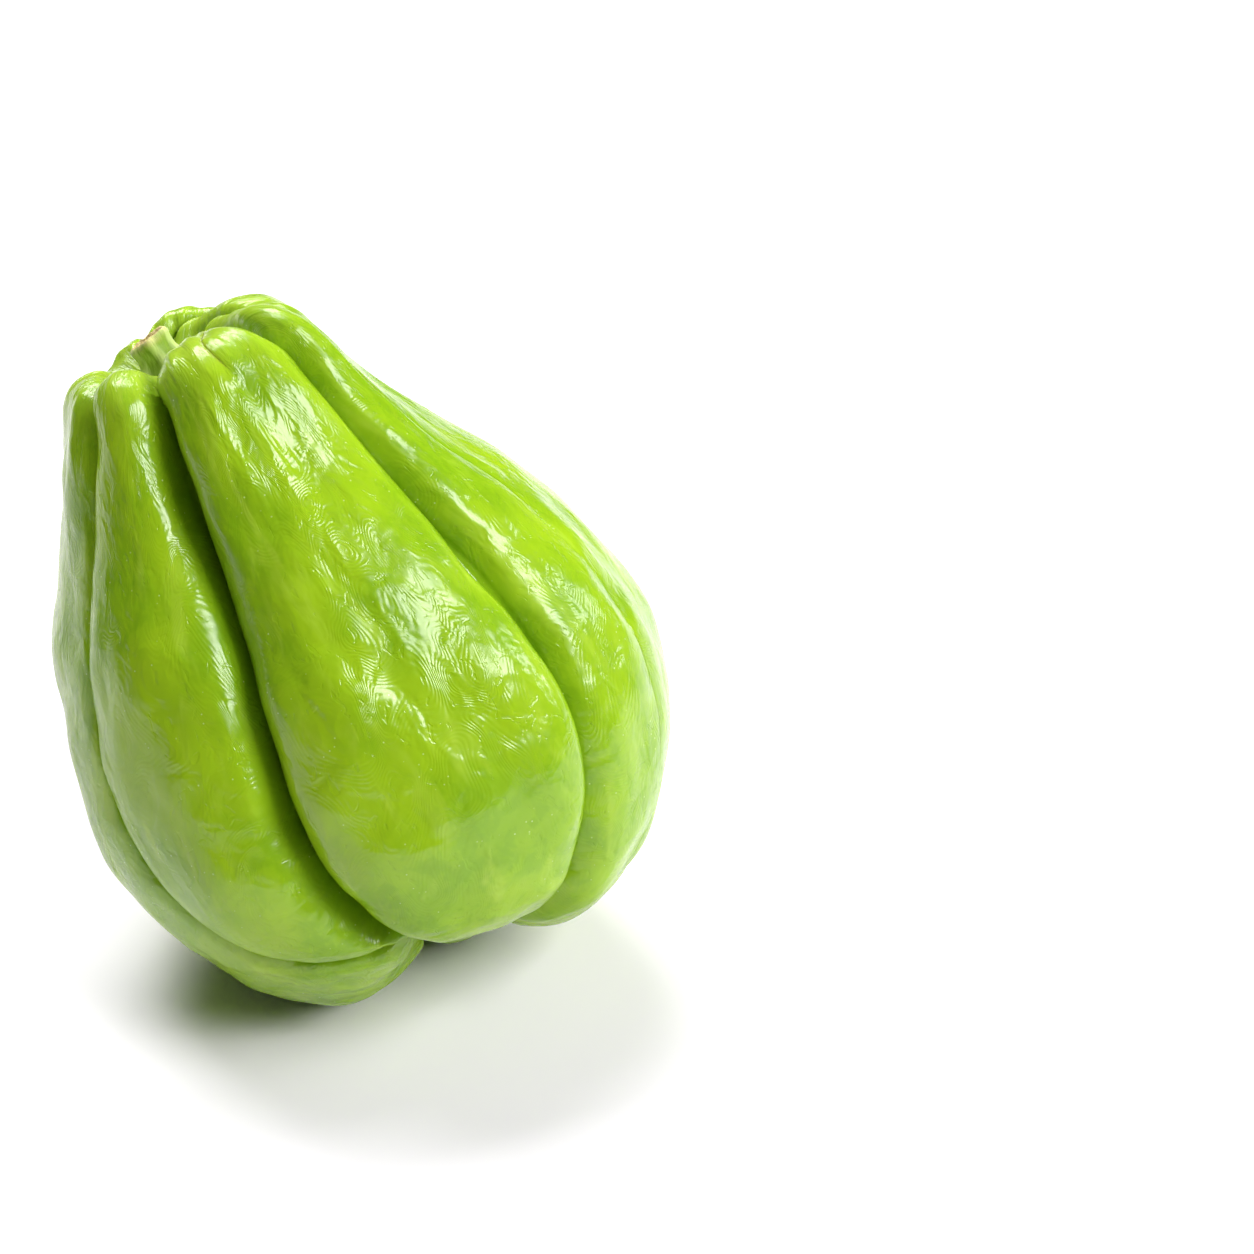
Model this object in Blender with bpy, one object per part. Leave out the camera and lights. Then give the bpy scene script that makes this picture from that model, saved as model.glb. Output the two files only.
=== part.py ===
"""A whole chayote squash with the cut stub of its stem, standing on the lobes of its blossom end.

The fruit is a turned pear shape whose skin is drawn in along furrows that run from the stem pit to the
blossom scar, so that full lobes stand between them. It leans as it would come to rest on a table.
"""

import math

import bmesh
import bpy
import numpy as np
from mathutils import Euler, Matrix, Vector

MM = 0.001

# The fruit in its own axes: the stem points up +Z and the widest part of the belly is at height 0.
BELLY = 50  # radius of the widest ring, mm
NECK, NECK_LEVEL = 23, 68  # radius and height of the neck, where the shoulder rounds over, mm
CROWN, CROWN_LEVEL = 13, 76  # the ring on which the fruit is highest, mm
BASE, BASE_LEVEL = 16, -40  # the ring on which it is lowest, mm
PIT_LEVEL = 71  # the middle of the stem pit, mm
SCAR_LEVEL = -33  # the blossom scar, mm
TAPER = 1.3  # the higher, the later the side swells out below the neck
STEPS = 4  # points in each of the outline's five stretches
THICKNESS = 0.94  # depth of the fruit over its width
NECK_LEAN = (-3, 1)  # how far the neck stands off the belly's axis, mm
PIT_ASIDE = (-4.5, 3)  # how far the stem pit lies off the middle of the crown, mm
CROWN_DIP = ((-18, 5), 3, 8.5)  # beyond the stem the crown lies lower: middle, depth and radius, mm
SCAR_TURN = (27, 4)  # the blossom end is turned this far to the front and to the left, degrees

# Each furrow and lobe is set out at nine places down the outline, counted in its stretches: pit, rim,
# crown, neck, waist, belly, flank, base and scar.
PLACES = (0, 0.6, 1, 2, 2.4, 3, 3.4, 3.8, 5)
PINCH = (2.4, 2.4, 2.4, 2.6, 3.0, 3.2, 3.6, 4.0, 4.0)  # how tightly the furrows close at the places

LIP = 7.5  # radius of the round lip beside a furrow, mm
LIP_SHARE = 0.33  # and at most this share of the lobe's width
LIP_DEPTH = 0.55  # share of a furrow's depth that lies between the lips
FULL_LOBE = 11  # a lobe narrower than this lies lower between its furrows, mm

# The furrows, going round from the front to the right. Each has its bearing at the places (degrees from
# the front), its depth there (mm), how far across the next lobe it reaches (share of the lobe), and how
# far the lobe on its right swells outward at the places (mm).
FURROWS = {
    "main": ((-10, -10, -15, -19, -15, -18, -12, 0, 5), (0, 3, 7, 10, 12, 12, 11, 8, 3), 0.75, (0,) * 9),
    "crest": ((90, 70, 30, 20, 20, 20, 20, 20, 20), (0, 1, 1, 0, 0, 0, 0, 0, 0), 0.9, (0,) * 9),
    "right": (
        (110, 90, 60, 55, 50, 45, 40, 40, 45),
        (0, 4, 6, 6, 6, 6, 7, 7, 3),
        0.75,
        (0, 0, 0, 0, 0, 0, 0, 2, 0),
    ),
    "ridge": (
        (155, 145, 100, 75, 75, 70, 65, 65, 65),
        (0, 3, 4, 2, 1, 0.5, 0, 0, 0),
        0.9,
        (0, 0, -1, -2, -1, 1, 0, 1, 0),
    ),
    "back": (
        (190, 185, 160, 145, 140, 130, 120, 115, 110),
        (0, 3, 4, 5, 6, 6, 6, 7, 3),
        0.75,
        (0, 0, 0, 0, 0, 0, 0, -1, -1),
    ),
    "rear": (
        (210, 210, 205, 200, 195, 190, 180, 160, 150),
        (0, 1, 2.5, 2.5, 1.5, 2, 4, 6, 3),
        0.9,
        (0, 0, -1, 0, 0, 0, 0, 0, 0),
    ),
    "under": (
        (250, 250, 250, 250, 250, 250, 245, 210, 185),
        (0, 1, 2, 3.5, 3.5, 4, 5, 7, 3),
        0.8,
        (0, 0, 1, 1, 1, -1, -2, 1, 5),
    ),
    "left": (
        (300, 300, 300, 305, 300, 305, 325, 350, 355),
        (0, 1, 2.5, 3, 2, 3, 5.5, 7, 3),
        0.85,
        (0, 0, 0, 0, 0, 0, -1, -6, -3),
    ),
}
# Soft hollows in the base: under the middle of the fruit, so that it stands on the lobes round it, and
# at the front: middle, depth and radius, mm.
HOLLOWS = (
    ((-16, 10, -38), 5, 15),
    ((5, -25, -35), 3.5, 15),
)

ROWS = 64  # rings of faces from the pit to the scar
COLUMNS_PER_LOBE = 12

# How the fruit stands: turned about X, then Y, then Z, so that the stem end leans to the left and away.
STANDING = (-11, -19, 11)  # degrees

# The stem's cut stub, ribbed, flared where it grew out of the fruit.
STEM_RINGS = (  # height over the pit and radius, mm
    (0, 4.1), (0.5, 3.8), (1.1, 3.5), (2, 3.3), (3.2, 3.3), (4.4, 3.5), (4.8, 3.4), (5, 3.2), (4.8, 2),
)  # fmt: skip
STEM_SIDES = 30
STEM_RIBS = 5
RIB_HEIGHT = 0.22  # mm
STEM_OVAL = 0.86  # thickness of the stub over its width
STEM_LEAN = (-3, -9)  # the stub is turned this far about X and Y from the fruit's own axis, degrees
GAP = 0.6  # between the stub and the middle of the pit, mm

SKIN_GREEN = (0.30, 0.53, 0.06)
STEM_GREEN = (0.36, 0.45, 0.12)


def ease(t):
    """0 to 1, leaving and arriving level."""
    t = np.clip(t, 0, 1)
    return t * t * (3 - 2 * t)


def outline():
    """Radius and height down one side, mm: pit, shoulder, side, underside and scar, one stretch after
    another, each of STEPS points."""
    share = np.arange(STEPS) / STEPS
    turn = share * math.pi / 2
    pit = (CROWN * share, PIT_LEVEL + (CROWN_LEVEL - PIT_LEVEL) * ease(share) ** 2)
    shoulder = (CROWN + (NECK - CROWN) * share, CROWN_LEVEL + (NECK_LEVEL - CROWN_LEVEL) * share**3)
    side = (NECK + (BELLY - NECK) * np.sin(turn) ** TAPER, NECK_LEVEL * (1 - share))
    underside = (BASE + (BELLY - BASE) * np.cos(turn), BASE_LEVEL * np.sin(turn))
    scar = (BASE * (1 - share), BASE_LEVEL + (SCAR_LEVEL - BASE_LEVEL) * ease(share))
    stretches = [np.transpose(stretch) for stretch in (pit, shoulder, side, underside, scar)]
    return np.concatenate([*stretches, [(0, SCAR_LEVEL)]])


def smooth_course(run, values, at):
    """The smooth curve through the values at the given runs, read at other runs."""
    run, values = np.asarray(run, float), np.asarray(values, float)
    slope = np.gradient(values, run, axis=0)
    k = np.clip(np.searchsorted(run, at, side="right") - 1, 0, len(run) - 2)
    step = run[k + 1] - run[k]
    t = (at - run[k]) / step
    if values.ndim > 1:
        t, step = t[:, None], step[:, None]
    return (
        (2 * t**3 - 3 * t**2 + 1) * values[k]
        + (t**3 - 2 * t**2 + t) * step * slope[k]
        + (3 * t**2 - 2 * t**3) * values[k + 1]
        + (t**3 - t**2) * step * slope[k + 1]
    )


def crease(across, reach, wide, pinch):
    """How far the skin is drawn in across a lobe from its furrow, 1 at the bottom: an open valley, and in
    it a round lip that turns straight down."""
    valley = np.clip(1 - across / reach, 0, 1)[None, :] ** pinch
    over = np.clip(1 - across[None, :] * wide / np.minimum(LIP, LIP_SHARE * wide), 0, 1)
    return (1 - LIP_DEPTH) * valley + LIP_DEPTH * (1 - np.sqrt(1 - over**2))


def skin_points(rows, per_lobe):
    """The fruit's skin in its own axes, mm, as an array of rings of points, pit first."""
    side = outline()
    run = np.concatenate([[0], np.cumsum(np.linalg.norm(np.diff(side, axis=0), axis=1))])
    length = run[-1]
    run /= length
    places = np.interp(PLACES, np.arange(len(side)) / STEPS, run)
    down = np.linspace(0, 1, rows + 1)
    profile = smooth_course(run, side, down)
    radius = np.maximum(profile[:, 0], 0)
    radius[[0, -1]] = 0
    pinch = smooth_course(places, PINCH, down)[:, None]

    furrows = list(FURROWS.values())
    bearing = [smooth_course(places, f[0], down) for f in furrows]
    depth = [np.maximum(smooth_course(places, f[1], down), 0)[:, None] for f in furrows]
    across = (1 - np.cos(np.pi * np.arange(per_lobe) / per_lobe)) / 2  # closer together beside the furrows
    bearings, sinks = [], []
    for i, (_, _, reach, swell) in enumerate(furrows):
        j = (i + 1) % len(furrows)
        span = bearing[j] - bearing[i] + (360 if j == 0 else 0)
        wide = (np.radians(span) * np.maximum(radius, 1))[:, None]
        near = depth[i] * crease(across, reach, wide, pinch)
        far = depth[j] * crease(1 - across, furrows[j][2], wide, pinch)
        rise = smooth_course(places, swell, down)[:, None] * np.sin(np.pi * across)[None, :] ** 1.2
        bearings.append(bearing[i][:, None] + span[:, None] * across[None, :])
        sides = depth[i] * (1 - across) + depth[j] * across
        sinks.append(sides + (near + far - rise - sides) * ease(wide / FULL_LOBE))
    bearings = np.radians(np.concatenate(bearings, axis=1))
    sinks = np.concatenate(sinks, axis=1)

    level = profile[:, 1][:, None] + 0 * bearings
    points = np.stack(
        [radius[:, None] * np.sin(bearings), -radius[:, None] * np.cos(bearings) * THICKNESS, level], axis=-1
    )
    points[..., :2] += ease(level / 60)[..., None] * np.array(NECK_LEAN)
    points[..., :2] += ease(1 - down * length / 26)[:, None, None] * np.array(PIT_ASIDE)
    middle, deep, wide = CROWN_DIP
    away = np.linalg.norm(points[..., :2] - np.array(middle), axis=-1)
    points[..., 2] -= deep * np.exp(-((away / wide) ** 2)) * ease(level / 60)

    # The blossom end turns about the middle of the belly, more and more toward the scar.
    front, left = np.radians(SCAR_TURN)
    axis = np.array([-front, left, 0]) / math.hypot(front, left)
    angle = (math.hypot(front, left) * ease((down - places[5]) / (1 - places[5])))[:, None, None]
    along = (points @ axis)[..., None] * axis
    points = points * np.cos(angle) + np.cross(axis, points) * np.sin(angle) + along * (1 - np.cos(angle))

    # The skin is drawn in along its own normal.
    normal = np.cross(np.roll(points, -1, 1) - np.roll(points, 1, 1), np.gradient(points, axis=0))
    normal /= np.maximum(np.linalg.norm(normal, axis=-1, keepdims=True), 1e-9)
    if (normal[rows // 2] * points[rows // 2]).sum() < 0:
        normal = -normal
    normal[0] = (0, 0, 1)
    normal[-1] = normal[-2].mean(axis=0) / np.linalg.norm(normal[-2].mean(axis=0))
    for middle, deep, wide in HOLLOWS:
        away = np.linalg.norm(points - np.array(middle), axis=-1)
        sinks = sinks + deep * np.exp(-((away / wide) ** 2))
    ends = ease(np.minimum(down, 1 - down) / 0.03)[:, None]
    return points - normal * (sinks * ends)[..., None]


def clay(name, colour, roughness):
    material = bpy.data.materials.new(name)
    material.use_nodes = True
    shader = material.node_tree.nodes["Principled BSDF"]
    shader.inputs["Base Color"].default_value = (*colour, 1)
    shader.inputs["Roughness"].default_value = roughness
    shader.inputs["Metallic"].default_value = 0
    return material


def add_piece(name, bm, material):
    """The bmesh becomes a smooth-shaded object of this name."""
    mesh = bpy.data.meshes.new(name)
    bm.to_mesh(mesh)
    bm.free()
    mesh.shade_smooth()
    mesh.materials.append(material)
    piece = bpy.data.objects.new(name, mesh)
    bpy.context.scene.collection.objects.link(piece)
    return piece


def fruit_mesh():
    """A round ball whose rings and meridians are moved to the fruit's skin."""
    points = skin_points(ROWS, COLUMNS_PER_LOBE)
    columns = points.shape[1]
    bm = bmesh.new()
    bmesh.ops.create_uvsphere(bm, u_segments=columns, v_segments=ROWS, radius=1)
    for vert in bm.verts:
        row = round(math.acos(max(-1, min(1, vert.co.z))) / math.pi * ROWS)
        column = round(math.atan2(vert.co.y, vert.co.x) / math.tau * columns) % columns
        vert.co = Vector(points[row, column] * MM)
    return bm


def stem_mesh():
    """A ribbed stub raised ring by ring from its base, with a slightly sunken cut end."""
    bm = bmesh.new()
    first = bmesh.ops.create_circle(bm, cap_ends=True, segments=STEM_SIDES, radius=1)["verts"]
    face = bm.faces[:][0]
    if face.normal.z > 0:
        face.normal_flip()
    rings = [first]
    edges = list(bm.edges)
    for _ in STEM_RINGS[1:]:
        raised = bmesh.ops.extrude_edge_only(bm, edges=edges)["geom"]
        edges = [part for part in raised if isinstance(part, bmesh.types.BMEdge)]
        rings.append([part for part in raised if isinstance(part, bmesh.types.BMVert)])
    bmesh.ops.contextual_create(bm, geom=edges)
    for ring, (height, radius) in zip(rings, STEM_RINGS):
        for vert in ring:
            bearing = math.atan2(vert.co.y, vert.co.x)
            rib = RIB_HEIGHT * math.cos(STEM_RIBS * bearing) * min(1, radius / 3)
            vert.co = Vector((
                (radius + rib) * math.cos(bearing) * MM,
                (radius + rib) * math.sin(bearing) * STEM_OVAL * MM,
                height * MM,
            ))  # fmt: skip
    bmesh.ops.recalc_face_normals(bm, faces=bm.faces)
    return bm


for old in list(bpy.data.objects):
    bpy.data.objects.remove(old)

fruit = add_piece("fruit", fruit_mesh(), clay("chayote skin", SKIN_GREEN, 0.35))
stem = add_piece("stem", stem_mesh(), clay("cut stem", STEM_GREEN, 0.6))

# The fruit is set down as it stands, with the middle of its box over the origin.
standing = Euler([math.radians(angle) for angle in STANDING], "XYZ").to_matrix().to_4x4()
lean = Euler([math.radians(angle) for angle in (*STEM_LEAN, 0)], "XYZ").to_matrix().to_4x4()
pit = Matrix.Translation((Vector(skin_points(ROWS, COLUMNS_PER_LOBE)[0, 0]) + Vector((0, 0, GAP))) * MM)
fruit.data.transform(standing)
stem.data.transform(standing @ pit @ lean)
corners = np.array([vert.co[:] for piece in (fruit, stem) for vert in piece.data.vertices])
low, high = corners.min(axis=0), corners.max(axis=0)
for piece in (fruit, stem):
    piece.location = (-(low[0] + high[0]) / 2, -(low[1] + high[1]) / 2, -low[2])
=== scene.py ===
import math

import bpy
import numpy as np
from mathutils import Euler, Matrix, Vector, noise


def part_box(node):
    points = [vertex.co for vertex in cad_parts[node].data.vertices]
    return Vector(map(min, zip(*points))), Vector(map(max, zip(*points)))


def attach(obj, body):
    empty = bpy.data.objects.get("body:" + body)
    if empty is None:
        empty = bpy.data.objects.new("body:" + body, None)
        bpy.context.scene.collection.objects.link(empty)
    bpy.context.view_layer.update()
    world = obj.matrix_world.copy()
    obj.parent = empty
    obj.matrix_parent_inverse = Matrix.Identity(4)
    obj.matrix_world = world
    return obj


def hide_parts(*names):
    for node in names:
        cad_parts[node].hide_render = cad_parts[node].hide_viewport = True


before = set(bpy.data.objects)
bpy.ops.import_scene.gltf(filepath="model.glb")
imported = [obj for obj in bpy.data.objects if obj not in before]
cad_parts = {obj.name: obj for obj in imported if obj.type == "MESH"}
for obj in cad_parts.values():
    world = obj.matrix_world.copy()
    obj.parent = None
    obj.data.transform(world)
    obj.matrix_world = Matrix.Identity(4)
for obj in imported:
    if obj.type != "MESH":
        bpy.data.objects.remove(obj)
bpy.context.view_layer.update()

# ---------------------------------------------------------------------------------------------
# The fruit: one whole chayote, firm and pear-shaped, with a thin waxy green skin. Deep furrows run
# from the stem pit to the blossom scar and full lobes stand between them. It is shaped from a ball
# whose rings and meridians are pushed out to the skin, then dented and wrinkled as it grew.
# ---------------------------------------------------------------------------------------------
MM = 0.001
ROWS = 300  # rings of faces from the pit to the scar
COLUMNS_PER_LOBE = 32

# The fruit in its own axes, with the stem up and the widest ring at height 0.
BELLY = 50  # radius of the widest ring, mm
NECK, NECK_LEVEL = 23, 68  # radius and height of the neck, where the shoulder rounds over, mm
CROWN, CROWN_LEVEL = 13, 76  # the ring on which the fruit is highest, mm
BASE, BASE_LEVEL = 16, -40  # the ring on which it is lowest, mm
PIT_LEVEL = 71  # the middle of the stem pit, mm
SCAR_LEVEL = -33  # the blossom scar, mm
TAPER = 1.3  # the higher, the later the side swells out below the neck
STEPS = 4  # points in each of the outline's five stretches
THICKNESS = 0.94  # depth of the fruit over its width
NECK_LEAN = (-3, 1)  # how far the neck stands off the belly's axis, mm
LEAN_LEVEL = 60  # the lean is whole from this height up, mm
PIT_ASIDE = (-4.5, 3)  # how far the stem pit lies off the middle of the crown, mm
PIT_RUN = 26  # and how far down the skin that shift reaches, mm
SCAR_TURN = (27, 4)  # the blossom end is turned this far to the front and to the left, degrees
STANDING = (-11, -19, 11)  # how the fruit stands: turned about X, then Y, then Z, degrees
END_SHARE = 0.03  # share of the way down at each end over which the furrows fade out

# Places down the outline at which the furrows are set out, counted in its five stretches: pit, rim,
# crown, neck, waist, belly, flank, base and scar. A furrow has its bearing and depth at each, its reach
# across the next lobe, and that lobe's swell.
PLACES = (0, 0.6, 1, 2, 2.4, 3, 3.4, 3.8, 5)
PINCH = (2.4, 2.4, 2.4, 2.6, 3.0, 3.2, 3.6, 4.0, 4.0)  # how tightly the furrows close at the places
LIP = 5.5  # radius of the round lip beside a furrow, mm
LIP_SHARE = 0.33  # and at most this share of the lobe's width
LIP_DEPTH = 0.55  # share of a furrow's depth that lies between the lips
FULL_LOBE = 11  # a lobe narrower than this lies lower between its furrows, mm
FURROWS = {
    "main": ((-10, -10, -15, -19, -15, -18, -12, 0, 5), (0, 3, 7, 10, 12, 12, 11, 8, 3), 0.75, (0,) * 9),
    "crest": ((90, 70, 30, 20, 20, 20, 20, 20, 20), (0, 1, 1, 0, 0, 0, 0, 0, 0), 0.9, (0,) * 9),
    "right": (
        (110, 90, 60, 55, 50, 45, 40, 40, 45),
        (0, 4, 6, 6, 6, 6, 7, 7, 3),
        0.75,
        (0, 0, 0, 0, 0, 0, 0, 2, 0),
    ),
    "ridge": (
        (155, 145, 100, 75, 75, 70, 65, 65, 65),
        (0, 3, 4, 2, 1, 0.5, 0, 0, 0),
        0.9,
        (0, 0, -1, -2, -1, 1, 0, 1, 0),
    ),
    "back": (
        (190, 185, 160, 145, 140, 130, 120, 115, 110),
        (0, 3, 4, 5, 6, 6, 6, 7, 3),
        0.75,
        (0, 0, 0, 0, 0, 0, 0, -1, -1),
    ),
    "rear": (
        (210, 210, 205, 200, 195, 190, 180, 160, 150),
        (0, 1, 2.5, 2.5, 1.5, 2, 4, 6, 3),
        0.9,
        (0, 0, -1, 0, 0, 0, 0, 0, 0),
    ),
    "under": (
        (250, 250, 250, 250, 250, 250, 245, 210, 185),
        (0, 1, 2, 3.5, 3.5, 4, 5, 7, 3),
        0.8,
        (0, 0, 1, 1, 1, -1, -2, 1, 5),
    ),
    "left": (
        (300, 300, 300, 305, 300, 305, 325, 350, 355),
        (0, 1, 2.5, 3, 2, 3, 5.5, 7, 3),
        0.85,
        (0, 0, 0, 0, 0, 0, -1, -6, -3),
    ),
}
# Soft hollows in the base, under the middle of the fruit and at the front: middle, depth and radius, mm.
HOLLOWS = (
    ((-16, 10, -38), 5, 15),
    ((5, -25, -35), 3.5, 15),
)
CROWN_DIP = ((-18, 5), 3, 8.5)  # beyond the stem the crown lies lower: middle, depth and radius, mm

# The lumps of a grown skin: height, width across the fruit and length along it, mm.
LUMPS = ((1.4, 14, 26), (0.6, 6, 10))
CLEAR_FOOT, FOOT_FADE = 1.5, 8  # they start this far over the floor and are whole so much higher, mm
END_FADE = 6  # they fade out over this much skin at the pit and at the scar, mm
DEEPEST = 9.5  # depth at which the skin counts as right down in a furrow, mm


def ease(t):
    """0 to 1, leaving and arriving level."""
    t = np.clip(t, 0, 1)
    return t * t * (3 - 2 * t)


def outline():
    """Radius and height down one side, mm: pit, shoulder, side, underside and scar, one stretch after
    another, each of STEPS points."""
    share = np.arange(STEPS) / STEPS
    turn = share * math.pi / 2
    pit = (CROWN * share, PIT_LEVEL + (CROWN_LEVEL - PIT_LEVEL) * ease(share) ** 2)
    shoulder = (CROWN + (NECK - CROWN) * share, CROWN_LEVEL + (NECK_LEVEL - CROWN_LEVEL) * share**3)
    side = (NECK + (BELLY - NECK) * np.sin(turn) ** TAPER, NECK_LEVEL * (1 - share))
    underside = (BASE + (BELLY - BASE) * np.cos(turn), BASE_LEVEL * np.sin(turn))
    scar = (BASE * (1 - share), BASE_LEVEL + (SCAR_LEVEL - BASE_LEVEL) * ease(share))
    stretches = [np.transpose(stretch) for stretch in (pit, shoulder, side, underside, scar)]
    return np.concatenate([*stretches, [(0, SCAR_LEVEL)]])


def smooth_course(run, values, at):
    """The smooth curve through the values at the given runs, read at other runs."""
    run, values = np.asarray(run, float), np.asarray(values, float)
    slope = np.gradient(values, run, axis=0)
    k = np.clip(np.searchsorted(run, at, side="right") - 1, 0, len(run) - 2)
    step = run[k + 1] - run[k]
    t = (at - run[k]) / step
    if values.ndim > 1:
        t, step = t[:, None], step[:, None]
    return (
        (2 * t**3 - 3 * t**2 + 1) * values[k]
        + (t**3 - 2 * t**2 + t) * step * slope[k]
        + (3 * t**2 - 2 * t**3) * values[k + 1]
        + (t**3 - t**2) * step * slope[k + 1]
    )


def outward(points):
    """The normals of rings of points, pointing out of the fruit."""
    normal = np.cross(np.roll(points, -1, 1) - np.roll(points, 1, 1), np.gradient(points, axis=0))
    normal /= np.maximum(np.linalg.norm(normal, axis=-1, keepdims=True), 1e-9)
    middle = len(points) // 2
    if (normal[middle] * points[middle]).sum() < 0:
        normal = -normal
    normal[0] = (0, 0, 1)
    normal[-1] = normal[-2].mean(axis=0) / np.linalg.norm(normal[-2].mean(axis=0))
    return normal


def crease(across, reach, wide, pinch):
    """How far the skin is drawn in across a lobe from its furrow, 1 at the bottom: an open valley, and in
    it a round lip that turns straight down."""
    valley = np.clip(1 - across / reach, 0, 1)[None, :] ** pinch
    over = np.clip(1 - across[None, :] * wide / np.minimum(LIP, LIP_SHARE * wide), 0, 1)
    return (1 - LIP_DEPTH) * valley + LIP_DEPTH * (1 - np.sqrt(1 - over**2))


def skin_points(rows, per_lobe):
    """Rings of points on the skin in the fruit's own axes, mm, pit first, with the flow of the skin
    at each (bearing round the fruit and run down it) and how far it lies down in a furrow."""
    side = outline()
    run = np.concatenate([[0], np.cumsum(np.linalg.norm(np.diff(side, axis=0), axis=1))])
    length = run[-1]
    run /= length
    places = np.interp(PLACES, np.arange(len(side)) / STEPS, run)
    down = np.linspace(0, 1, rows + 1)
    profile = smooth_course(run, side, down)
    radius = np.maximum(profile[:, 0], 0)
    radius[[0, -1]] = 0
    pinch = smooth_course(places, PINCH, down)[:, None]

    furrows = list(FURROWS.values())
    bearing = [smooth_course(places, f[0], down) for f in furrows]
    depth = [np.maximum(smooth_course(places, f[1], down), 0)[:, None] for f in furrows]
    across = (1 - np.cos(np.pi * np.arange(per_lobe) / per_lobe)) / 2
    bearings, sinks, clefts = [], [], []
    for i, (_, _, reach, swell) in enumerate(furrows):
        j = (i + 1) % len(furrows)
        span = bearing[j] - bearing[i] + (360 if j == 0 else 0)
        wide = (np.radians(span) * np.maximum(radius, 1))[:, None]
        near = depth[i] * crease(across, reach, wide, pinch)
        far = depth[j] * crease(1 - across, furrows[j][2], wide, pinch)
        rise = smooth_course(places, swell, down)[:, None] * np.sin(np.pi * across)[None, :] ** 1.2
        bearings.append(bearing[i][:, None] + span[:, None] * across[None, :])
        sides = depth[i] * (1 - across) + depth[j] * across
        sinks.append(sides + (near + far - rise - sides) * ease(wide / FULL_LOBE))
        clefts.append(near + far)
    bearings = np.radians(np.concatenate(bearings, axis=1))
    sinks = np.concatenate(sinks, axis=1)
    clefts = np.concatenate(clefts, axis=1)

    level = profile[:, 1][:, None] + 0 * bearings
    points = np.stack(
        [radius[:, None] * np.sin(bearings), -radius[:, None] * np.cos(bearings) * THICKNESS, level], axis=-1
    )
    points[..., :2] += ease(level / LEAN_LEVEL)[..., None] * np.array(NECK_LEAN)
    points[..., :2] += ease(1 - down * length / PIT_RUN)[:, None, None] * np.array(PIT_ASIDE)
    middle, deep, wide = CROWN_DIP
    away = np.linalg.norm(points[..., :2] - np.array(middle), axis=-1)
    points[..., 2] -= deep * np.exp(-((away / wide) ** 2)) * ease(level / LEAN_LEVEL)

    # The blossom end turns about the middle of the belly, more and more toward the scar.
    front, left = np.radians(SCAR_TURN)
    axis = np.array([-front, left, 0]) / math.hypot(front, left)
    angle = (math.hypot(front, left) * ease((down - places[5]) / (1 - places[5])))[:, None, None]
    along = (points @ axis)[..., None] * axis
    points = points * np.cos(angle) + np.cross(axis, points) * np.sin(angle) + along * (1 - np.cos(angle))

    # The skin is drawn in along its own normal.
    for middle, deep, wide in HOLLOWS:
        away = np.linalg.norm(points - np.array(middle), axis=-1)
        sinks = sinks + deep * np.exp(-((away / wide) ** 2))
    ends = ease(np.minimum(down, 1 - down) / END_SHARE)[:, None]
    points = points - outward(points) * (sinks * ends)[..., None]
    return points, bearings, (down * length)[:, None] + 0 * bearings, clefts


skin, skin_bearing, skin_run, cleft = skin_points(ROWS, COLUMNS_PER_LOBE)
columns = skin.shape[1]

# The skin's flow: round the fruit on a drum of even radius, and down it. Streaks and folds follow it.
DRUM = 36  # mm
flow = np.stack([DRUM * np.sin(skin_bearing), -DRUM * np.cos(skin_bearing), skin_run], axis=-1)

turned = np.array(Euler([math.radians(angle) for angle in STANDING], "XYZ").to_matrix())
standing = skin @ turned.T
low, high = standing.reshape(-1, 3).min(axis=0), standing.reshape(-1, 3).max(axis=0)
fruit_low, fruit_high = (np.array(corner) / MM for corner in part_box("fruit"))
set_down = (fruit_low + fruit_high - low - high) / 2
set_down[2] = fruit_low[2] - low[2]

lump = np.zeros(skin.shape[:2])
for height, width, length in LUMPS:
    for row in range(ROWS + 1):
        for column in range(columns):
            x, y, z = flow[row, column]
            lump[row, column] += height * noise.noise(Vector((x / width, y / width, z / length)))
above = standing[..., 2] - low[2]
lump *= ease((above - CLEAR_FOOT) / FOOT_FADE)
lump *= ease(np.minimum(skin_run, skin_run[-1, 0] - skin_run) / END_FADE)
skin = skin + outward(skin) * lump[..., None]
placed = (skin @ turned.T + set_down) * MM

bpy.ops.object.select_all(action="DESELECT")
bpy.ops.mesh.primitive_uv_sphere_add(segments=columns, ring_count=ROWS, radius=1)
fruit = bpy.context.object
fruit.name = "chayote_skin"
ball = np.array([vert.co for vert in fruit.data.vertices])
row = np.rint(np.arccos(np.clip(ball[:, 2], -1, 1)) / math.pi * ROWS).astype(int)
column = np.rint(np.arctan2(ball[:, 1], ball[:, 0]) / math.tau * columns).astype(int) % columns
fruit.data.vertices.foreach_set("co", placed[row, column].ravel())
for name, kind, field, values in (
    ("flow", "FLOAT_VECTOR", "vector", flow * MM),
    ("cleft", "FLOAT", "value", cleft / DEEPEST),
):
    attribute = fruit.data.attributes.new(name, kind, "POINT")
    attribute.data.foreach_set(field, values[row, column].astype(np.float32).ravel())
fruit.data.update()
bpy.ops.object.shade_smooth()


def linear(red, green, blue):
    """A screen colour, 0 to 255, as the shader wants it."""
    shares = [c / 255 for c in (red, green, blue)]
    return (*(((c + 0.055) / 1.055) ** 2.4 if c > 0.04 else c / 12.92 for c in shares), 1)


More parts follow.
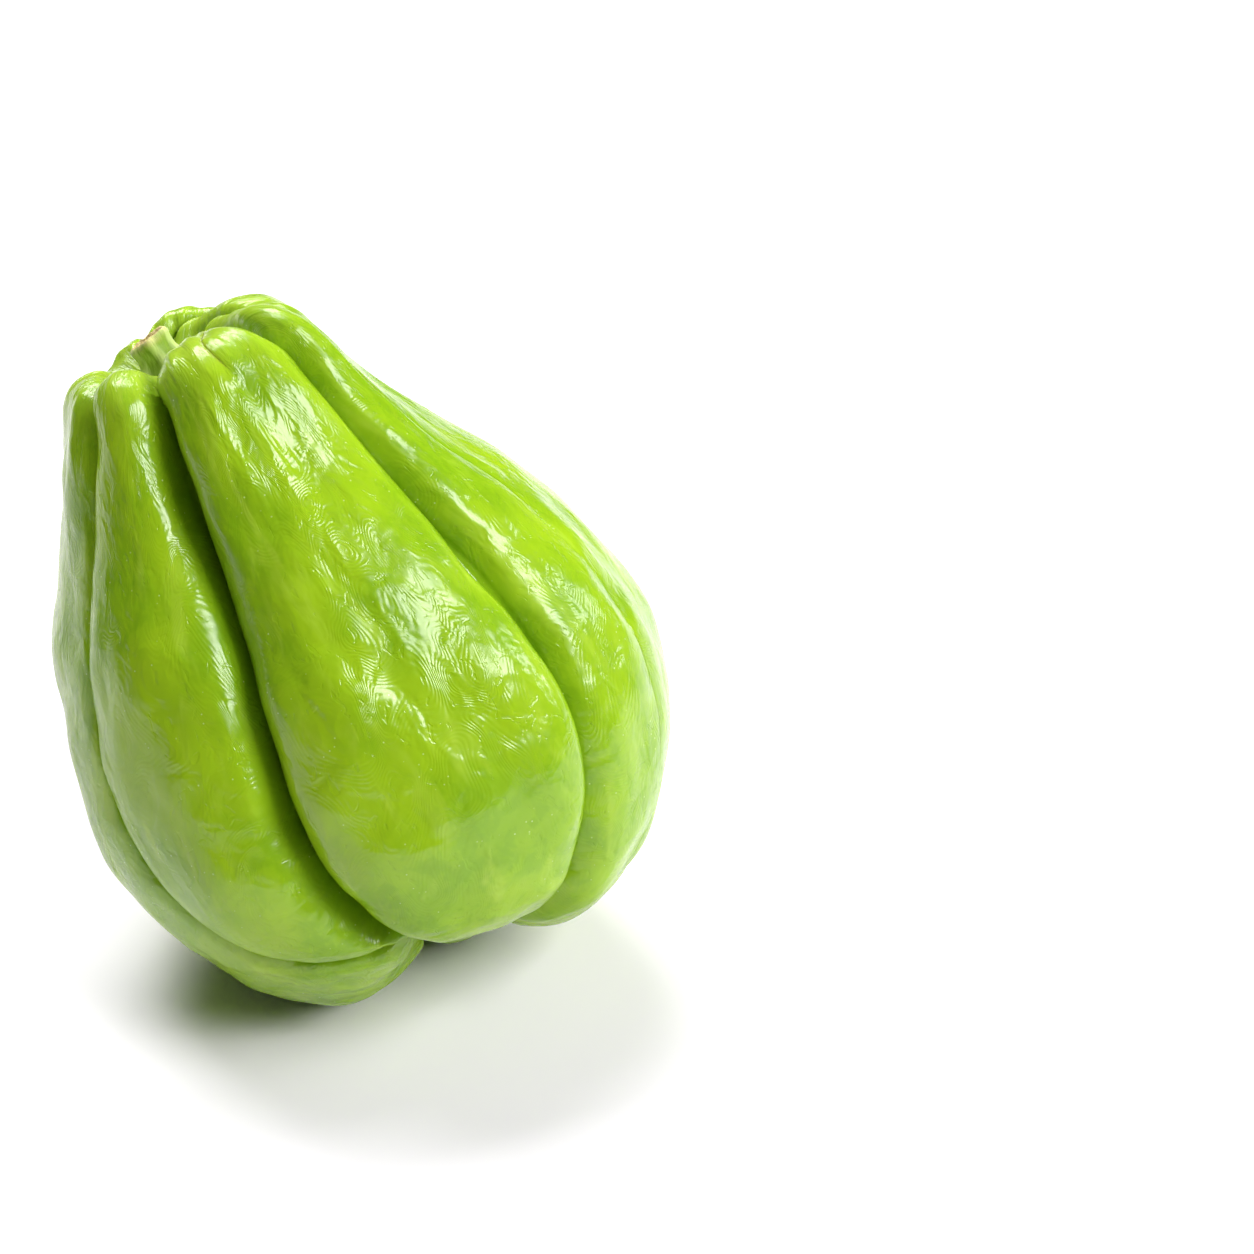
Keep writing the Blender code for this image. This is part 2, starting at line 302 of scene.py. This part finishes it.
class Finish:
    """A material being put together: nodes are added and joined up by name."""

    def __init__(self, name):
        self.material = bpy.data.materials.new(name)
        self.material.use_nodes = True
        self.tree = self.material.node_tree
        self.shader = self.tree.nodes["Principled BSDF"]

    def add(self, kind, inputs=None, **settings):
        node = self.tree.nodes.new(kind)
        for key, value in settings.items():
            setattr(node, key, value)
        for key, value in (inputs or {}).items():
            self.feed(node.inputs[key], value)
        return node

    def feed(self, socket, value):
        if isinstance(value, bpy.types.NodeSocket):
            self.tree.links.new(value, socket)
        else:
            socket.default_value = value

    def mapped(self, vector, scale):
        return self.add("ShaderNodeMapping", {"Vector": vector, "Scale": scale}).outputs[0]

    def noise(self, vector, scale, detail=2.0, roughness=0.5, distortion=0.0):
        inputs = {"Vector": vector, "Scale": scale, "Detail": detail, "Roughness": roughness}
        inputs["Distortion"] = distortion
        return self.add("ShaderNodeTexNoise", inputs).outputs["Fac"]

    def math(self, operation, first, second=0.5, third=0.5):
        node = self.add("ShaderNodeMath", operation=operation)
        for socket, value in zip(node.inputs, (first, second, third)):
            self.feed(socket, value)
        return node.outputs[0]

    def between(self, value, low, high, to_low=0.0, to_high=1.0):
        inputs = {"Value": value, "From Min": low, "From Max": high, "To Min": to_low, "To Max": to_high}
        return self.add("ShaderNodeMapRange", inputs, interpolation_type="SMOOTHSTEP").outputs[0]

    def mix(self, share, first, second, blend="MIX"):
        node = self.add("ShaderNodeMix", data_type="RGBA", blend_type=blend)
        self.feed(node.inputs[0], share)
        self.feed(node.inputs[6], first)
        self.feed(node.inputs[7], second)
        return node.outputs[2]

    def bump(self, height, distance, under=None, strength=1.0):
        inputs = {"Height": height, "Distance": distance, "Strength": strength}
        if under is not None:
            inputs["Normal"] = under
        return self.add("ShaderNodeBump", inputs).outputs[0]


SKIN_GREEN = linear(146, 180, 24)
# The deep green of the skin's own darker clouds, also painted into the furrows as shade.
DEEP_GREEN_AND_FURROW_SHADE = linear(112, 154, 12)
MOTTLE_GREEN = linear(108, 150, 10)
PALE_GREEN = linear(184, 210, 76)
SPECK_GREEN = linear(210, 224, 150)

wax = Finish("chayote skin")
around = wax.add("ShaderNodeTexCoord").outputs["Object"]
down_flow = wax.add("ShaderNodeAttribute", attribute_name="flow").outputs["Vector"]
furrow_shade_depth = wax.add("ShaderNodeAttribute", attribute_name="cleft").outputs["Fac"]

# Colour: clouds of deeper and paler green, with soft mottles and faint streaks along the lobes; down in the
# furrows the green is deepened, partly the skin's own deeper green by the main furrow, partly painted shade.
clouds = wax.noise(wax.mapped(down_flow, (75, 75, 45)), 1.0, 2.0, 0.5)
mottles = wax.noise(wax.mapped(down_flow, (380, 380, 220)), 1.0, 3.0, 0.6, 0.3)
streaks = wax.noise(wax.mapped(down_flow, (260, 260, 60)), 1.0, 3.0, 0.55, 0.5)
green = wax.mix(wax.between(clouds, 0.3, 0.7, 0.35, 1.0), DEEP_GREEN_AND_FURROW_SHADE, SKIN_GREEN)
shade = wax.math("MULTIPLY", wax.between(mottles, 0.54, 0.4), wax.between(clouds, 0.58, 0.42, 0.1, 0.4))
green = wax.mix(shade, green, MOTTLE_GREEN)
green = wax.mix(wax.between(streaks, 0.54, 0.78, 0.0, 0.35), green, PALE_GREEN)
run_down = wax.add("ShaderNodeSeparateXYZ", {"Vector": down_flow}).outputs["Z"]
green = wax.mix(wax.between(run_down, 0.03, 0.006, 0.0, 0.5), green, PALE_GREEN)
# Painted shade: the further down in a furrow, the deeper the green, up to 0.7 of the way to the deep green;
# by the main furrow part of it is the skin's own colour.
green = wax.mix(wax.between(furrow_shade_depth, 0.15, 0.95, 0.0, 0.7), green, DEEP_GREEN_AND_FURROW_SHADE)
cells = wax.add("ShaderNodeTexVoronoi", {"Vector": around, "Scale": 700.0, "Randomness": 1.0})
speck = wax.between(cells.outputs["Distance"], 0.13, 0.05)
speck = wax.math("MULTIPLY", speck, wax.between(wax.noise(around, 130.0), 0.5, 0.6))
green = wax.mix(wax.math("MULTIPLY", speck, 0.6), green, SPECK_GREEN)
wax.feed(wax.shader.inputs["Base Color"], green)

# Relief: shallow folds, short creases and fine growth lines that circle every rise.
folds = wax.noise(wax.mapped(down_flow, (230, 230, 150)), 1.0, 2.0, 0.45, 0.5)
creases = wax.between(wax.noise(wax.mapped(down_flow, (620, 620, 330)), 1.0, 2.0, 0.5, 1.0), 0.6, 0.7)
whorls = wax.noise(wax.mapped(down_flow, (115, 115, 55)), 1.0, 1.0, 0.45, 0.5)
lines = wax.math("SINE", wax.math("MULTIPLY", whorls, 240.0))
lines = wax.math("MULTIPLY", lines, wax.between(mottles, 0.35, 0.6, 0.4, 1.0))
relief = wax.bump(folds, 0.0006)
relief = wax.bump(creases, -0.00004, relief)
relief = wax.bump(lines, 0.00001, relief)
wax.feed(wax.shader.inputs["Normal"], relief)
wax.feed(wax.shader.inputs["Roughness"], wax.between(clouds, 0.3, 0.7, 0.23, 0.17))
wax.shader.inputs["Specular IOR Level"].default_value = 0.5
wax.shader.inputs["IOR"].default_value = 1.45
wax.shader.inputs["Subsurface Weight"].default_value = 0.7
wax.shader.inputs["Subsurface Radius"].default_value = (1.0, 1.2, 0.3)
wax.shader.inputs["Subsurface Scale"].default_value = 0.0012
fruit.data.materials.clear()
fruit.data.materials.append(wax.material)
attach(fruit, "root")
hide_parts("fruit")

# ---------------------------------------------------------------------------------------------
# The stem: the cut stub of the fruit stalk. Five blunt ribs run up it from a flare of short roots that
# grip the pit, and its dry cut end shows tan fibres inside a paler rim.
# ---------------------------------------------------------------------------------------------
STEM_ROWS = 120
STEM_COLUMNS = 140
STEM_COURSE = (  # height over the pit and radius, from under the skin up to the middle of the cut, mm
    (-1.9, 0), (-1.8, 4.4), (-0.7, 4.9), (0.3, 4.2), (1.1, 3.6), (2, 3.3), (3.2, 3.3), (4.4, 3.5),
    (4.8, 3.4), (5, 3.1), (4.95, 2.8), (4.6, 2.4), (4.7, 1.6), (4.6, 0.8), (4.6, 0),
)
CUT_FROM = 9  # the place in the course where the cut end begins
STEM_RIBS = 5
STEM_OVAL = 0.9  # thickness of the stub over its width
STEM_LEAN = (-3, -9)  # the stub is turned this far about X and Y from the fruit's own axis, degrees
SEAT_HEIGHT = 0.6  # height 0 of the course lies this far over the middle of the pit, mm
FULL_RELIEF = 3  # the heights below are whole where the stub's radius is at least this, mm
RIB_HEIGHT, LUMP_HEIGHT, FIBRE_HEIGHT, ROOT_HEIGHT = 0.26, 0.4, 0.07, 1.1  # mm
GRAIN_HEIGHT, TEAR_HEIGHT = 0.16, 0.3  # on the cut end, mm
CUT_SLOPE = 0.11  # the cut end slopes across the stub, rise over run
STEM_HEIGHT = 5  # the slope is whole from this height up, mm

course = np.array(STEM_COURSE, float)
course_run = np.concatenate([[0], np.cumsum(np.linalg.norm(np.diff(course, axis=0), axis=1))])
course_at = np.linspace(0, course_run[-1], STEM_ROWS + 1)
profile = smooth_course(course_run, course, course_at)
stub = np.zeros((STEM_ROWS + 1, STEM_COLUMNS, 3))
stub_flow = np.zeros_like(stub)
rib_tone = np.zeros(stub.shape[:2])
cut_tone = np.zeros(stub.shape[:2])
for row, (height, radius) in enumerate(profile):
    radius = max(radius, 0) if 0 < row < STEM_ROWS else 0
    on_cut = float(ease((course_at[row] - course_run[CUT_FROM]) / 0.5 + 0.5))
    for column in range(STEM_COLUMNS):
        angle = math.tau * column / STEM_COLUMNS
        c, s = math.cos(angle), math.sin(angle)
        twist = angle + 0.06 * height + 0.25 * noise.noise(Vector((c, s, 3.0)))
        rib = math.cos(STEM_RIBS * twist)
        blunt = math.copysign(abs(rib) ** 0.7, rib)
        root = max(rib, 0) * math.exp(-(((height + 0.8) / 1.5) ** 2))
        uneven = noise.noise(Vector((1.6 * c, 1.6 * s, 0.25 * height)))
        fibre = noise.noise(Vector((11 * c, 11 * s, 0.5 * height)))
        bulge = RIB_HEIGHT * blunt + LUMP_HEIGHT * uneven + ROOT_HEIGHT * root
        bulge += FIBRE_HEIGHT * fibre * (1 - on_cut)
        out = radius + min(radius / FULL_RELIEF, 1) * bulge
        grain = noise.noise(Vector((2.6 * radius * c, 2.6 * radius * s, 0)))
        tear = noise.noise(Vector((2.2 * c, 2.2 * s, 7.0))) * min(radius / FULL_RELIEF, 1)
        lift = on_cut * (GRAIN_HEIGHT * grain + TEAR_HEIGHT * tear)
        lift += CUT_SLOPE * out * c * ease(height / STEM_HEIGHT)
        stub[row, column] = (out * c, out * s * STEM_OVAL, height + lift)
        stub_flow[row, column] = (3.2 * c, 3.2 * s, height)
        rib_tone[row, column] = rib
        cut_tone[row, column] = on_cut
lean = np.array(Euler([math.radians(angle) for angle in (*STEM_LEAN, 0)], "XYZ").to_matrix())
seat = skin[0, 0] + np.array((0, 0, SEAT_HEIGHT))
placed = ((stub @ lean.T + seat) @ turned.T + set_down) * MM

bpy.ops.object.select_all(action="DESELECT")
bpy.ops.mesh.primitive_uv_sphere_add(segments=STEM_COLUMNS, ring_count=STEM_ROWS, radius=1)
stem = bpy.context.object
stem.name = "cut_stem"
ball = np.array([vert.co for vert in stem.data.vertices])
row = STEM_ROWS - np.rint(np.arccos(np.clip(ball[:, 2], -1, 1)) / math.pi * STEM_ROWS).astype(int)
column = np.rint(np.arctan2(ball[:, 1], ball[:, 0]) / math.tau * STEM_COLUMNS).astype(int) % STEM_COLUMNS
stem.data.vertices.foreach_set("co", placed[row, column].ravel())
for name, kind, field, values in (
    ("flow", "FLOAT_VECTOR", "vector", stub_flow * MM),
    ("rib", "FLOAT", "value", rib_tone),
    ("cut", "FLOAT", "value", cut_tone),
):
    attribute = stem.data.attributes.new(name, kind, "POINT")
    attribute.data.foreach_set(field, values[row, column].astype(np.float32).ravel())
stem.data.update()
bpy.ops.object.shade_smooth()

STEM_GREEN = linear(132, 162, 44)
STEM_PALE = linear(190, 208, 124)
STEM_DRY = linear(198, 194, 120)
CUT_TAN = linear(208, 192, 122)
CUT_BROWN = linear(168, 148, 80)
CUT_RIM = linear(218, 212, 150)

bark = Finish("cut stem")
up_stem = bark.add("ShaderNodeAttribute", attribute_name="flow").outputs["Vector"]
rib = bark.add("ShaderNodeAttribute", attribute_name="rib").outputs["Fac"]
cut = bark.add("ShaderNodeAttribute", attribute_name="cut").outputs["Fac"]
height = bark.add("ShaderNodeSeparateXYZ", {"Vector": up_stem}).outputs["Z"]
strands = bark.noise(bark.mapped(up_stem, (1500, 1500, 260)), 1.0, 3.0, 0.6, 0.4)
blotch = bark.noise(bark.mapped(up_stem, (420, 420, 300)), 1.0, 2.0)
side = bark.mix(bark.between(bark.math("MULTIPLY_ADD", strands, 1.6, rib), 0.3, 1.5), STEM_GREEN, STEM_PALE)
dry = bark.math("MULTIPLY", bark.between(height, 0.0032, 0.0048), bark.between(blotch, 0.35, 0.6, 0.3, 0.9))
side = bark.mix(dry, side, STEM_DRY)
pores = bark.noise(bark.add("ShaderNodeTexCoord").outputs["Object"], 2600, 3.0, 0.6)
face = bark.mix(bark.between(pores, 0.4, 0.62), CUT_BROWN, CUT_TAN)
face = bark.mix(bark.between(cut, 0.98, 0.3), face, CUT_RIM)
bark.feed(bark.shader.inputs["Base Color"], bark.mix(bark.between(cut, 0.2, 0.6), side, face))
relief = bark.bump(strands, 0.00022)
relief = bark.bump(bark.math("MULTIPLY", pores, cut), 0.0003, relief)
bark.feed(bark.shader.inputs["Normal"], relief)
bark.shader.inputs["Roughness"].default_value = 0.55
bark.shader.inputs["Subsurface Weight"].default_value = 0.2
bark.shader.inputs["Subsurface Radius"].default_value = (1.0, 0.9, 0.3)
bark.shader.inputs["Subsurface Scale"].default_value = 0.0008
stem.data.materials.clear()
stem.data.materials.append(bark.material)
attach(stem, "root")
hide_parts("stem")

# ---------------------------------------------------------------------------------------------
# The floor: a wide pale sheet under the fruit.
# ---------------------------------------------------------------------------------------------
bpy.ops.object.select_all(action="DESELECT")
bpy.ops.mesh.primitive_plane_add(size=6)
floor = bpy.context.object
floor.name = "floor"
paper = Finish("pale floor")
paper.shader.inputs["Base Color"].default_value = (0.88, 0.85, 0.9, 1)
paper.shader.inputs["Roughness"].default_value = 0.8
floor.data.materials.append(paper.material)

# ---------------------------------------------------------------------------------------------
# Camera and light.
# ---------------------------------------------------------------------------------------------
CAMERA_RISE = math.radians(30)  # over the level
CAMERA_AWAY = 500 * MM  # from the middle of the belly
CAMERA_SHIFT = (42.5 * MM, 17.5 * MM)  # and so far to its right and over it

belly = Vector(set_down * MM)
right = Vector((1, 0, 0))
up = Vector((0, math.sin(CAMERA_RISE), math.cos(CAMERA_RISE)))
toward = Vector((0, -math.cos(CAMERA_RISE), math.sin(CAMERA_RISE)))
lens = bpy.data.cameras.new("camera")
lens.lens = 85
lens.sensor_width = 36
lens.clip_start = 0.01
camera = bpy.data.objects.new("camera", lens)
bpy.context.scene.collection.objects.link(camera)
camera.location = belly + CAMERA_SHIFT[0] * right + CAMERA_SHIFT[1] * up + CAMERA_AWAY * toward
camera.rotation_euler = (math.pi / 2 - CAMERA_RISE, 0, 0)
bpy.context.scene.camera = camera


def softbox(name, place, size, power, aim=(0, 0, 0.05)):
    """A soft rectangular light, turned to face the fruit."""
    light = bpy.data.lights.new(name, "AREA")
    light.shape = "RECTANGLE"
    light.size, light.size_y = size
    light.energy = power
    lamp = bpy.data.objects.new(name, light)
    bpy.context.scene.collection.objects.link(lamp)
    lamp.location = place
    lamp.rotation_euler = (Vector(place) - Vector(aim)).to_track_quat("Z", "Y").to_euler()


softbox("overhead softbox", (-0.35, 0.7, 1.35), (1.0, 1.0), 36)
softbox("right window", (0.7, -0.4, 0.7), (0.44, 0.54), 12)
softbox("far window", (0.95, 0.24, 0.48), (0.22, 0.36), 3)

world = bpy.data.worlds.new("studio")
bpy.context.scene.world = world
world.use_nodes = True
world.node_tree.nodes["Background"].inputs["Color"].default_value = (1, 1, 1, 1)
world.node_tree.nodes["Background"].inputs["Strength"].default_value = 0.05
bpy.context.scene.view_settings.view_transform = "Standard"
